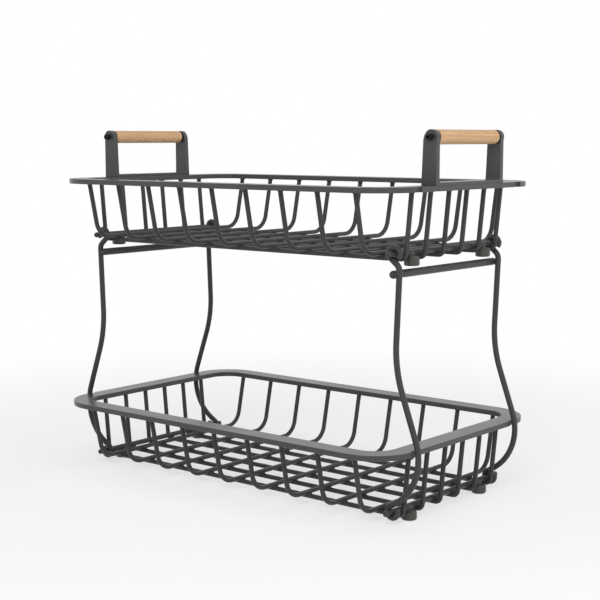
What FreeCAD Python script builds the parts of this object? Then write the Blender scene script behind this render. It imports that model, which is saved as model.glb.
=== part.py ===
import FreeCAD, Part
import math
import os
import Sketcher

# Two-tier wire basket. Each basket is a flat steel ring with bent wires hanging from it.
# Two rods lie across the floor wires, carry the rubber feet and are gripped by the leg eyes.
# Two sprung leg frames hold the upper basket over the lower one.
# Z is up, X runs along the baskets, the front is -Y, and Z = 0 is the table.

SIZES = (
    ("rim_length", 400.0, "outer length of a rim"),
    ("rim_depth", 245.0, "outer depth of a rim, front to back"),
    ("rim_width", 18.5, "width of the flat ring"),
    ("rim_thickness", 4.7, "thickness of the flat ring"),
    ("rim_corner", 40.0, "outer corner radius of a rim"),
    ("rim_round", 0.6, "rounding on the ring's edges"),
    ("notch_width", 10.0, "width of a leg notch in the rim"),
    ("notch_depth", 2.2, "depth of a leg notch in the rim"),
    ("basket_height", 67.0, "table to the top of the lower rim"),
    ("tier_pitch", 218.4, "height from one basket to the next"),
    ("ground_gap", 4.3, "table to the underside of the floor wires"),
    ("wire_diameter", 4.3, "basket wire"),
    ("wire_spare", 6.0, "extra wire that is cut off flush under the rim"),
    ("long_margin", 52.5, "rim edge to the outermost left-right wire"),
    ("long_seat", 12.5, "rim end to a left-right wire where it meets the rim"),
    ("long_bend", 5.5, "bend radius of a left-right wire"),
    ("long_lean", 5.5, "outward lean of a left-right wire's ends, degrees"),
    ("cross_margin", 40.0, "rim end to the outermost front-back wire"),
    ("cross_seat", 12.5, "rim edge to a front-back wire where it meets the rim"),
    ("cross_bend", 17.0, "bend radius of a front-back wire"),
    ("cross_lean", 12.0, "outward lean of a front-back wire's ends, degrees"),
    ("rod_diameter", 5.0, "rod that carries the feet"),
    ("rod_margin", 0.6, "rod axis inside the place where the left-right wires turn up"),
    ("rod_overhang", 12.0, "rod beyond the leg's plane"),
    ("foot_diameter", 13.4, "rubber foot"),
    ("foot_button", 8.3, "height of a foot's round button"),
    ("foot_shoulder", 2.4, "rounding at the top of a button"),
    ("foot_edge", 1.6, "rounding at the bottom of a button"),
    ("foot_shift", 2.0, "button axis outside its rod"),
    ("foot_height", 12.2, "table to the top of a foot's neck"),
    ("neck_diameter", 8.4, "neck that grips the rod"),
    ("neck_round", 1.0, "rounding at the top of a neck"),
    ("foot_play", 0.05, "radial play of a rod in its foot"),
    ("leg_diameter", 5.2, "leg wire"),
    ("leg_margin", 44.5, "rim edge to the leg's plane"),
    ("eye_play", 0.08, "radial play of a rod in a leg's eye"),
    ("eye_wrap", 265.0, "how far an eye wraps round its rod, degrees"),
    ("leg_rise", 30.0, "climb of the leg out of its lower eye, degrees"),
    ("bulge_radius", 46.0, "bend that carries the leg round the lower rim"),
    ("bulge_reach", 2.4, "leg axis beyond the rim's end at its widest"),
    ("leg_lean", 20.0, "inward lean above the lower rim, degrees"),
    ("waist_radius", 110.0, "bend back to upright"),
    ("shoulder_lean", 2.5, "outward lean below the shoulder, degrees"),
    ("shoulder_inset", 18.5, "rim end to the leg axis beside the crossbar"),
    ("shoulder_radius", 8.0, "bend of the shoulder"),
    ("shoulder_rise", 39.0, "climb from the shoulder to the upper eye, degrees"),
    ("crossbar_diameter", 6.8, "bar between a front leg and a back leg"),
    ("crossbar_drop", 6.4, "crossbar axis below the upper feet"),
    ("crossbar_overhang", 3.5, "crossbar beyond the leg's plane"),
    ("bracket_length", 105.6, "handle bracket, front to back"),
    ("bracket_width", 15.0, "handle bracket strip"),
    ("strip_thickness", 2.6, "handle bracket strip"),
    ("post_thickness", 4.8, "handle bracket post"),
    ("post_head", 6.4, "radius of a post's round head"),
    ("post_shoulder", 12.5, "radius that leads a post's inner edge into its head"),
    ("head_overhang", 0.6, "post head beyond the bracket's outer edge"),
    ("post_lean", 2.4, "lean of a post's inner edge, degrees"),
    ("bracket_fillet", 1.5, "rounding between strip and post"),
    ("grip_rise", 40.0, "rim top to the grip's axis"),
    ("grip_diameter", 12.5, "wooden grip"),
    ("grip_round", 1.5, "rounding on the grip's ends"),
    ("grip_play", 0.4, "gap between the grip and a collar"),
    ("bore_play", 0.08, "radial play of the grip on its bolt"),
    ("collar_diameter", 12.2, "metal collar beside the grip"),
    ("collar_length", 1.2, "metal collar beside the grip"),
    ("bolt_diameter", 3.0, "bolt through the grip"),
    ("bolt_clearance", 0.2, "radial room for the bolt in posts and collars"),
    ("head_diameter", 5.4, "bolt head"),
    ("head_height", 4.6, "bolt head"),
    ("head_round", 0.5, "rounding on the bolt head"),
    ("socket_flats", 2.5, "hex socket across flats"),
    ("socket_depth", 2.2, "hex socket"),
    ("nut_flats", 5.5, "cap nut across flats"),
    ("nut_height", 2.6, "six-sided part of the cap nut"),
    ("nut_dome", 2.5, "dome radius of the cap nut"),
    ("thread_reach", 3.4, "bolt beyond the back post"),
    ("thread_play", 0.05, "radial play of the bolt in the nut"),
)

CROSS_WIRES = 9
LONG_WIRES = 6

os.makedirs("parts", exist_ok=True)
doc = FreeCAD.newDocument("TieredWireBasket")
sheet = doc.addObject("Spreadsheet::Sheet", "Sizes")
for row, (name, size, meaning) in enumerate(SIZES, 1):
    sheet.set("A%d" % row, meaning)
    sheet.set("B%d" % row, str(size))
    sheet.setAlias("B%d" % row, name)
doc.recompute()

# Places that several pieces share, as expressions of the sizes.
END_X = "(Sizes.rim_length / 2)"
SIDE_Y = "(Sizes.rim_depth / 2)"
RIM_UNDER = "(Sizes.basket_height - Sizes.rim_thickness)"
LONG_LEVEL = "(Sizes.ground_gap + Sizes.wire_diameter / 2)"
CROSS_LEVEL = "(Sizes.ground_gap + Sizes.wire_diameter * 3 / 2)"
ROD_LEVEL = "(Sizes.ground_gap + Sizes.wire_diameter + Sizes.rod_diameter / 2)"
LONG_TOP_X = "(Sizes.rim_length / 2 - Sizes.long_seat)"
LONG_KNEE = "(Sizes.long_bend * (1 - sin(Sizes.long_lean * 1 deg)))"
LONG_SPREAD = "((%s - %s - %s) * tan(Sizes.long_lean * 1 deg))" % (RIM_UNDER, LONG_LEVEL, LONG_KNEE)
LONG_FLAT_X = "(%s - %s - Sizes.long_bend * cos(Sizes.long_lean * 1 deg))" % (LONG_TOP_X, LONG_SPREAD)
ROD_X = "(%s - Sizes.rod_margin)" % LONG_FLAT_X
FOOT_X = "(%s + Sizes.foot_shift)" % ROD_X
LEG_Y = "(Sizes.rim_depth / 2 - Sizes.leg_margin)"
FOOT_Y = "((Sizes.rim_depth / 2 - Sizes.long_margin) * 4 / 5)"
EYE_RADIUS = "(Sizes.rod_diameter / 2 + Sizes.eye_play + Sizes.leg_diameter / 2)"
SHOULDER_X = "(Sizes.rim_length / 2 - Sizes.shoulder_inset)"
SHOULDER_Z = "(Sizes.tier_pitch - Sizes.crossbar_drop)"
BAR_STANDOFF = "((Sizes.leg_diameter + Sizes.crossbar_diameter) / 2)"
RIM_TOP = "(Sizes.tier_pitch + Sizes.basket_height)"
BRACKET_X = "(Sizes.rim_length / 2 - Sizes.bracket_width / 2)"
HEAD_X = "(Sizes.bracket_width / 2 - Sizes.post_head + Sizes.head_overhang)"
GRIP_X = "(Sizes.rim_length / 2 - Sizes.post_head + Sizes.head_overhang)"
GRIP_Z = "(Sizes.tier_pitch + Sizes.basket_height + Sizes.grip_rise)"
POST_OUT = "(Sizes.bracket_length / 2)"
POST_IN = "(Sizes.bracket_length / 2 - Sizes.post_thickness)"
COLLAR_IN = "(Sizes.bracket_length / 2 - Sizes.post_thickness - Sizes.collar_length)"


def number(expression):
    """Present value of an expression of the sizes."""
    result = sheet.evalExpression(expression)
    return float(getattr(result, "Value", result))


def spot(x, y):
    """Point of a sketch."""
    return FreeCAD.Vector(x, y, 0)


def arc(x, y, radius, first, last):
    """Arc about (x, y), counter-clockwise from the first angle to the last, in degrees."""
    circle = Part.Circle(spot(x, y), FreeCAD.Vector(0, 0, 1), radius)
    return Part.ArcOfCircle(circle, math.radians(first), math.radians(last))


def new_body(label):
    """Empty body for one piece."""
    body = doc.addObject("PartDesign::Body", label)
    body.Label = label
    return body


def origin_plane(body, role):
    """One of the body's own three planes."""
    for feature in body.Origin.OriginFeatures:
        if feature.Role == role:
            return feature
    raise ValueError(role)


def new_sketch(body, name, role, raised=None):
    """Sketch on one of the body's planes, raised along its normal by an expression."""
    sketch = body.newObject("Sketcher::SketchObject", body.Label + "_" + name)
    sketch.AttachmentSupport = [(origin_plane(body, role), "")]
    sketch.MapMode = "FlatFace"
    if raised:
        offset = FreeCAD.Vector(0, 0, number(raised))
        sketch.AttachmentOffset = FreeCAD.Placement(offset, FreeCAD.Rotation())
        sketch.setExpression("AttachmentOffset.Base.z", raised)
    return sketch


def tie(sketch, kind, *places):
    """Geometric constraint."""
    sketch.addConstraint(Sketcher.Constraint(kind, *places))


def size(sketch, kind, places, expression):
    """Dimension that follows an expression of the sizes."""
    value = number(expression)
    if kind == "Angle":
        value = math.radians(value)
    index = sketch.addConstraint(Sketcher.Constraint(kind, *places, value))
    sketch.setExpression("Constraints[%d]" % index, expression)


def locate(sketch, geometry, point, x=None, y=None):
    """Distances of a point from the sketch's origin."""
    if x:
        size(sketch, "DistanceX", (-1, 1, geometry, point), x)
    if y:
        size(sketch, "DistanceY", (-1, 1, geometry, point), y)


def place(body, x="0", y="0", z="0", turned=False):
    """Place a body, turned half round Z for the pieces of the left end."""
    turn = FreeCAD.Rotation(FreeCAD.Vector(0, 0, 1), 180 if turned else 0)
    base = FreeCAD.Vector(number(x), number(y), number(z))
    body.Placement = FreeCAD.Placement(base, turn)
    body.setExpression("Placement.Base.x", x)
    body.setExpression("Placement.Base.y", y)
    body.setExpression("Placement.Base.z", z)


def pad(body, name, sketch, length):
    """Push a sketch out along its normal."""
    feature = body.newObject("PartDesign::Pad", body.Label + "_" + name)
    feature.Profile = sketch
    feature.setExpression("Length", length)
    return feature


def pocket(body, name, sketch, reverse=False, both=False, depth=None):
    """Cut with a sketch, right through or to a depth."""
    feature = body.newObject("PartDesign::Pocket", body.Label + "_" + name)
    feature.Profile = sketch
    feature.Reversed = reverse
    feature.Midplane = both
    if depth:
        feature.Type = "Length"
        feature.setExpression("Length", depth)
    else:
        feature.Type = "ThroughAll"
    return feature


def turn_round(body, name, sketch, axis="V_Axis"):
    """Turn a sketch right round one of its lines."""
    feature = body.newObject("PartDesign::Revolution", body.Label + "_" + name)
    feature.Profile = sketch
    feature.ReferenceAxis = (sketch, [axis])
    feature.Angle = 360
    return feature


def mirror(body, name, features, role):
    """Copy features to the other side of one of the body's planes."""
    doc.recompute()
    feature = body.newObject("PartDesign::Mirrored", body.Label + "_" + name)
    feature.Originals = features
    feature.MirrorPlane = (origin_plane(body, role), [""])
    body.Tip = feature
    doc.recompute()
    return feature


def polygon(sketch, points):
    """Closed outline of straight lines; returns the index of its first line."""
    first = sketch.GeometryCount
    count = len(points)
    for i in range(count):
        sketch.addGeometry(Part.LineSegment(spot(*points[i]), spot(*points[(i + 1) % count])))
    for i in range(count):
        tie(sketch, "Coincident", first + i, 2, first + (i + 1) % count, 1)
    return first


def rectangle(sketch, x0, y0, x1, y1):
    """Upright rectangle; lines in the order bottom, right, top, left."""
    first = polygon(sketch, [(x0, y0), (x1, y0), (x1, y1), (x0, y1)])
    for i in (0, 2):
        tie(sketch, "Horizontal", first + i)
    for i in (1, 3):
        tie(sketch, "Vertical", first + i)
    return first


def rounded_rectangle(sketch, length, depth, corner):
    """Rectangle about the origin with round corners, sized by three expressions."""
    first = sketch.GeometryCount
    a = number(length) / 2
    b = number(depth) / 2
    r = number(corner)
    sketch.addGeometry(Part.LineSegment(spot(r - a, -b), spot(a - r, -b)))
    sketch.addGeometry(arc(a - r, r - b, r, 270, 360))
    sketch.addGeometry(Part.LineSegment(spot(a, r - b), spot(a, b - r)))
    sketch.addGeometry(arc(a - r, b - r, r, 0, 90))
    sketch.addGeometry(Part.LineSegment(spot(a - r, b), spot(r - a, b)))
    sketch.addGeometry(arc(r - a, b - r, r, 90, 180))
    sketch.addGeometry(Part.LineSegment(spot(-a, b - r), spot(-a, r - b)))
    sketch.addGeometry(arc(r - a, r - b, r, 180, 270))
    for i in range(8):
        tie(sketch, "Tangent", first + i, 2, first + (i + 1) % 8, 1)
    for i in (0, 4):
        tie(sketch, "Horizontal", first + i)
    for i in (2, 6):
        tie(sketch, "Vertical", first + i)
    for i in (3, 5, 7):
        tie(sketch, "Equal", first + 1, first + i)
    tie(sketch, "Symmetric", first, 1, first + 4, 1, -1, 1)
    size(sketch, "DistanceX", (first + 6, 1, first + 2, 1), length)
    size(sketch, "DistanceY", (first, 2, first + 4, 1), depth)
    size(sketch, "Radius", (first + 1,), corner)


def hexagon(sketch, x, y, flats):
    """Regular hexagon about a point, sized across its flats."""
    first = sketch.GeometryCount
    radius = number(flats) / math.sqrt(3)
    corners = [math.radians(60 * i) for i in range(6)]
    points = [(number(x) + radius * math.cos(c), number(y) + radius * math.sin(c)) for c in corners]
    polygon(sketch, points)
    centre = spot(number(x), number(y))
    circle = Part.Circle(centre, FreeCAD.Vector(0, 0, 1), radius)
    ring = sketch.addGeometry(circle, True)
    for i in range(6):
        tie(sketch, "PointOnObject", first + i, 1, ring)
    for i in range(1, 6):
        tie(sketch, "Equal", first, first + i)
    tie(sketch, "Horizontal", first + 1)
    locate(sketch, ring, 3, x, y)
    size(sketch, "Radius", (ring,), flats + " / sqrt(3)")


def make_rim(label, lift):
    """Flat ring of bar with four notches for the legs in its two ends."""
    body = new_body(label)
    ring = new_sketch(body, "ring", "XY_Plane", RIM_UNDER)
    rounded_rectangle(ring, "Sizes.rim_length", "Sizes.rim_depth", "Sizes.rim_corner")
    rounded_rectangle(
        ring,
        "(Sizes.rim_length - 2 * Sizes.rim_width)",
        "(Sizes.rim_depth - 2 * Sizes.rim_width)",
        "(Sizes.rim_corner - Sizes.rim_width)",
    )
    blank = pad(body, "blank", ring, "Sizes.rim_thickness")
    doc.recompute()
    edges = []
    for i, edge in enumerate(blank.Shape.Edges, 1):
        heights = [vertex.Z for vertex in edge.Vertexes]
        if max(heights) - min(heights) < 0.1:
            edges.append("Edge%d" % i)
    rounding = body.newObject("PartDesign::Fillet", label + "_edges")
    rounding.Base = (blank, edges)
    rounding.setExpression("Radius", "Sizes.rim_round")
    doc.recompute()
    notches = new_sketch(body, "notches", "XY_Plane")
    deep = number(END_X) - number("Sizes.notch_depth")
    out = number(END_X) + number("Sizes.notch_depth")
    near = number(LEG_Y) - number("Sizes.notch_width") / 2
    far = number(LEG_Y) + number("Sizes.notch_width") / 2
    back_right = rectangle(notches, deep, near, out, far)
    front_right = rectangle(notches, deep, -far, out, -near)
    back_left = rectangle(notches, -out, near, -deep, far)
    front_left = rectangle(notches, -out, -far, -deep, -near)
    locate(notches, back_right, 1, END_X + " - Sizes.notch_depth", LEG_Y + " - Sizes.notch_width / 2")
    size(notches, "DistanceX", (back_right, 1, back_right, 2), "2 * Sizes.notch_depth")
    size(notches, "DistanceY", (back_right + 1, 1, back_right + 1, 2), "Sizes.notch_width")
    tie(notches, "Symmetric", back_right, 1, front_right + 3, 1, -1)
    tie(notches, "Symmetric", back_right + 1, 2, front_right, 2, -1)
    tie(notches, "Symmetric", back_right, 1, back_left, 2, -2)
    tie(notches, "Symmetric", back_right + 1, 2, back_left + 3, 1, -2)
    tie(notches, "Symmetric", front_right, 1, front_left, 2, -2)
    tie(notches, "Symmetric", front_right + 1, 2, front_left + 3, 1, -2)
    pocket(body, "leg_notches", notches, reverse=True)
    place(body, z=lift)


def make_wire(label, role, reach, level, bend, lean, x, y, lift):
    """Wire bent up at both ends and cut off flush under the rim."""
    body = new_body(label)
    top = RIM_UNDER[:-1] + " + Sizes.wire_spare)"
    wide = "(" + reach + " + Sizes.wire_spare * tan(" + lean + " * 1 deg))"
    u = number(wide)
    w = number(top)
    r = number(bend)
    floor = number(level)
    tilt = math.radians(number(lean))
    rise = w - floor - r * (1 - math.sin(tilt))
    corner = u - rise * math.tan(tilt)
    flat = corner - r * math.cos(tilt)
    knee = floor + r * (1 - math.sin(tilt))
    path = new_sketch(body, "path", role)
    path.addGeometry(Part.LineSegment(spot(-u, w), spot(-corner, knee)))
    path.addGeometry(arc(-flat, floor + r, r, 180 + number(lean), 270))
    path.addGeometry(Part.LineSegment(spot(-flat, floor), spot(flat, floor)))
    path.addGeometry(arc(flat, floor + r, r, 270, 360 - number(lean)))
    path.addGeometry(Part.LineSegment(spot(corner, knee), spot(u, w)))
    for i in range(4):
        tie(path, "Tangent", i, 2, i + 1, 1)
    tie(path, "Symmetric", 2, 1, 2, 2, -2)
    tie(path, "Symmetric", 0, 1, 4, 2, -2)
    tie(path, "Equal", 1, 3)
    size(path, "Radius", (3,), bend)
    locate(path, 2, 2, y=level)
    locate(path, 4, 2, wide, top)
    size(path, "Angle", (4, 1, -2, 1), lean)
    section = new_sketch(body, "section", "XY_Plane", top)
    along_x = role == "XZ_Plane"
    hinge = FreeCAD.Vector(0, 1, 0) if along_x else FreeCAD.Vector(1, 0, 0)
    tipped = "-" + lean if along_x else lean
    start = FreeCAD.Vector(-u, 0, w) if along_x else FreeCAD.Vector(0, -u, w)
    section.AttachmentOffset = FreeCAD.Placement(start, FreeCAD.Rotation(hinge, number(tipped)))
    section.setExpression("AttachmentOffset.Base.x" if along_x else "AttachmentOffset.Base.y", "-" + wide)
    section.setExpression("AttachmentOffset.Rotation.Angle", tipped)
    round_section(section, "Sizes.wire_diameter")
    bent = body.newObject("PartDesign::AdditivePipe", label + "_bent")
    bent.Profile = section
    bent.Spine = (path, [])
    flush = new_sketch(body, "flush", "XY_Plane", RIM_UNDER)
    round_section(flush, "2 * Sizes.rim_length")
    pocket(body, "cut_off", flush, reverse=True)
    place(body, x, y, lift)


def round_section(sketch, diameter):
    """Circle about the sketch's origin."""
    circle = Part.Circle(spot(0, 0), FreeCAD.Vector(0, 0, 1), number(diameter) / 2)
    sketch.addGeometry(circle)
    tie(sketch, "Coincident", 0, 3, -1, 1)
    size(sketch, "Diameter", (0,), diameter)


def make_bar(label, half, diameter, x, z, turned):
    """Straight round bar along Y with domed ends."""
    body = new_body(label)
    end = number(half)
    r = number(diameter) / 2
    outline = new_sketch(body, "outline", "XY_Plane")
    outline.addGeometry(Part.LineSegment(spot(0, end), spot(0, -end)))
    outline.addGeometry(arc(0, r - end, r, 270, 360))
    outline.addGeometry(Part.LineSegment(spot(r, r - end), spot(r, end - r)))
    outline.addGeometry(arc(0, end - r, r, 0, 90))
    tie(outline, "Coincident", 0, 2, 1, 1)
    tie(outline, "Tangent", 1, 2, 2, 1)
    tie(outline, "Tangent", 2, 2, 3, 1)
    tie(outline, "Coincident", 3, 2, 0, 1)
    tie(outline, "PointOnObject", 0, 1, -2)
    tie(outline, "PointOnObject", 1, 3, -2)
    tie(outline, "PointOnObject", 3, 3, -2)
    tie(outline, "Symmetric", 0, 1, 0, 2, -1, 1)
    tie(outline, "Vertical", 2)
    locate(outline, 0, 1, y=half)
    size(outline, "Radius", (1,), diameter + " / 2")
    turn_round(body, "bar", outline)
    place(body, x, "0", z, turned)


def make_foot(label, x, y, lift, turned):
    """Rubber foot: a round button and a slotted neck that is pressed on the rod."""
    body = new_body(label)
    r = number("Sizes.foot_diameter / 2")
    tall = number("Sizes.foot_button")
    shoulder = number("Sizes.foot_shoulder")
    edge = number("Sizes.foot_edge")
    outline = new_sketch(body, "outline", "XZ_Plane")
    outline.addGeometry(Part.LineSegment(spot(0, tall), spot(0, 0)))
    outline.addGeometry(Part.LineSegment(spot(0, 0), spot(r - edge, 0)))
    outline.addGeometry(arc(r - edge, edge, edge, 270, 360))
    outline.addGeometry(Part.LineSegment(spot(r, edge), spot(r, tall - shoulder)))
    outline.addGeometry(arc(r - shoulder, tall - shoulder, shoulder, 0, 90))
    outline.addGeometry(Part.LineSegment(spot(r - shoulder, tall), spot(0, tall)))
    tie(outline, "Coincident", 0, 2, 1, 1)
    for i in range(1, 5):
        tie(outline, "Tangent", i, 2, i + 1, 1)
    tie(outline, "Coincident", 5, 2, 0, 1)
    tie(outline, "Coincident", 0, 2, -1, 1)
    tie(outline, "Vertical", 0)
    tie(outline, "Horizontal", 1)
    tie(outline, "Vertical", 3)
    tie(outline, "Horizontal", 5)
    locate(outline, 0, 1, y="Sizes.foot_button")
    locate(outline, 3, 1, "Sizes.foot_diameter / 2")
    size(outline, "Radius", (2,), "Sizes.foot_edge")
    size(outline, "Radius", (4,), "Sizes.foot_shoulder")
    turn_round(body, "button", outline)
    shift = number("Sizes.foot_shift")
    stem = new_sketch(body, "stem", "XY_Plane", "Sizes.foot_button / 2")
    radius = number("Sizes.neck_diameter / 2")
    stem.addGeometry(Part.Circle(spot(-shift, 0), FreeCAD.Vector(0, 0, 1), radius))
    tie(stem, "PointOnObject", 0, 3, -1)
    size(stem, "DistanceX", (0, 3, -1, 1), "Sizes.foot_shift")
    size(stem, "Diameter", (0,), "Sizes.neck_diameter")
    neck = pad(body, "neck", stem, "Sizes.foot_height - Sizes.foot_button / 2")
    doc.recompute()
    edges = []
    for i, edge in enumerate(neck.Shape.Edges, 1):
        if edge.BoundBox.ZMin > number("Sizes.foot_height") - 0.01:
            edges.append("Edge%d" % i)
    rounding = body.newObject("PartDesign::Fillet", label + "_neck_edge")
    rounding.Base = (neck, edges)
    rounding.setExpression("Radius", "Sizes.neck_round")
    hole = new_sketch(body, "hole", "XZ_Plane")
    radius = number("Sizes.rod_diameter / 2 + Sizes.foot_play")
    hole.addGeometry(Part.Circle(spot(-shift, number(ROD_LEVEL)), FreeCAD.Vector(0, 0, 1), radius))
    locate(hole, 0, 3, y=ROD_LEVEL)
    size(hole, "DistanceX", (0, 3, -1, 1), "Sizes.foot_shift")
    size(hole, "Radius", (0,), "Sizes.rod_diameter / 2 + Sizes.foot_play")
    doc.recompute()
    pocket(body, "rod_slot", hole, both=True)
    place(body, x, y, lift, turned)


def make_leg(label, x, y, turned):
    """Sprung wire leg: eye, bulge round the rim, waist, shoulder and upper eye in one plane."""
    body = new_body(label)
    eye = number(EYE_RADIUS)
    rod_x = number(ROD_X)
    low = number(ROD_LEVEL)
    high = low + number("Sizes.tier_pitch")
    wrap = number("Sizes.eye_wrap")
    climb = number("Sizes.leg_rise")
    lean = 90 + number("Sizes.leg_lean")
    upright = 90 - number("Sizes.shoulder_lean")
    tuck = 180 - number("Sizes.shoulder_rise")
    bulge = number("Sizes.bulge_radius")
    waist = number("Sizes.waist_radius")
    shoulder = number("Sizes.shoulder_radius")

    def heading(angle):
        return FreeCAD.Vector(math.cos(math.radians(angle)), math.sin(math.radians(angle)), 0)

    def corner(p, first, q, last, radius, side):
        """Centre of the arc that joins a line through p to a line through q."""
        n = heading(first + side * 90)
        m = heading(last + side * 90)
        a = radius + p.dot(n)
        b = radius + q.dot(m)
        det = n.x * m.y - n.y * m.x
        return spot((a * m.y - b * n.y) / det, (n.x * b - m.x * a) / det)

    lower_eye = spot(rod_x, low)
    upper_eye = spot(rod_x, high)
    leave = lower_eye + heading(climb + 90) * eye
    centre_x = number(END_X) + number("Sizes.bulge_reach") - bulge
    foot = (centre_x - leave.x + bulge * math.sin(math.radians(climb))) / math.cos(math.radians(climb))
    bulge_start = leave + heading(climb) * foot
    bulge_centre = bulge_start + heading(climb + 90) * bulge
    bulge_end = bulge_centre + heading(lean - 90) * bulge
    by_bar = spot(number(SHOULDER_X), number(SHOULDER_Z))
    waist_centre = corner(bulge_end, lean, by_bar, upright, waist, -1)
    waist_low = waist_centre + heading(lean + 90) * waist
    waist_high = waist_centre + heading(upright + 90) * waist
    arrive = upper_eye + heading(tuck + 90) * eye
    shoulder_centre = corner(by_bar, upright, arrive, tuck, shoulder, 1)
    shoulder_low = shoulder_centre + heading(upright - 90) * shoulder
    shoulder_high = shoulder_centre + heading(tuck - 90) * shoulder

    path = new_sketch(body, "path", "XZ_Plane")
    path.addGeometry(arc(rod_x, low, eye, climb + 90, climb + 90 + wrap))
    path.addGeometry(Part.LineSegment(leave, bulge_start))
    path.addGeometry(arc(bulge_centre.x, bulge_centre.y, bulge, climb - 90, lean - 90))
    path.addGeometry(Part.LineSegment(bulge_end, waist_low))
    path.addGeometry(arc(waist_centre.x, waist_centre.y, waist, upright + 90, lean + 90))
    path.addGeometry(Part.LineSegment(waist_high, shoulder_low))
    path.addGeometry(arc(shoulder_centre.x, shoulder_centre.y, shoulder, upright - 90, tuck - 90))
    path.addGeometry(Part.LineSegment(shoulder_high, arrive))
    path.addGeometry(arc(rod_x, high, eye, tuck + 90 - wrap, tuck + 90))
    beside = path.addGeometry(Part.Point(by_bar), True)
    tie(path, "Tangent", 0, 1, 1, 1)
    tie(path, "Tangent", 1, 2, 2, 1)
    tie(path, "Tangent", 2, 2, 3, 1)
    tie(path, "Tangent", 3, 2, 4, 2)
    tie(path, "Tangent", 4, 1, 5, 1)
    tie(path, "Tangent", 5, 2, 6, 1)
    tie(path, "Tangent", 6, 2, 7, 1)
    tie(path, "Tangent", 7, 2, 8, 2)
    tie(path, "Equal", 0, 8)
    tie(path, "PointOnObject", beside, 1, 5)
    locate(path, 0, 3, ROD_X, ROD_LEVEL)
    locate(path, 8, 3, ROD_X, ROD_LEVEL + " + Sizes.tier_pitch")
    locate(path, 2, 3, END_X + " + Sizes.bulge_reach - Sizes.bulge_radius")
    locate(path, beside, 1, SHOULDER_X, SHOULDER_Z)
    size(path, "Radius", (0,), EYE_RADIUS)
    size(path, "Radius", (2,), "Sizes.bulge_radius")
    size(path, "Radius", (4,), "Sizes.waist_radius")
    size(path, "Radius", (6,), "Sizes.shoulder_radius")
    size(path, "Angle", (1,), "Sizes.leg_rise")
    size(path, "Angle", (3,), "90 + Sizes.leg_lean")
    size(path, "Angle", (5,), "90 - Sizes.shoulder_lean")
    size(path, "Angle", (7,), "180 - Sizes.shoulder_rise")
    size(path, "Angle", (0,), "Sizes.eye_wrap")
    size(path, "Angle", (8,), "Sizes.eye_wrap")

    loose = "(Sizes.leg_rise + Sizes.eye_wrap + 90)"
    end_x = "(" + ROD_X + " + " + EYE_RADIUS + " * cos(" + loose + " * 1 deg))"
    end_z = "(" + ROD_LEVEL + " + " + EYE_RADIUS + " * sin(" + loose + " * 1 deg))"
    section = new_sketch(body, "section", "XY_Plane", end_z)
    start = FreeCAD.Vector(number(end_x), 0, number(end_z))
    turn = FreeCAD.Rotation(FreeCAD.Vector(0, 1, 0), 360 - number(loose))
    section.AttachmentOffset = FreeCAD.Placement(start, turn)
    section.setExpression("AttachmentOffset.Base.x", end_x)
    section.setExpression("AttachmentOffset.Rotation.Angle", "360 - " + loose)
    round_section(section, "Sizes.leg_diameter")
    bent = body.newObject("PartDesign::AdditivePipe", label + "_bent")
    bent.Profile = section
    bent.Spine = (path, [])
    place(body, x, y, "0", turned)


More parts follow.
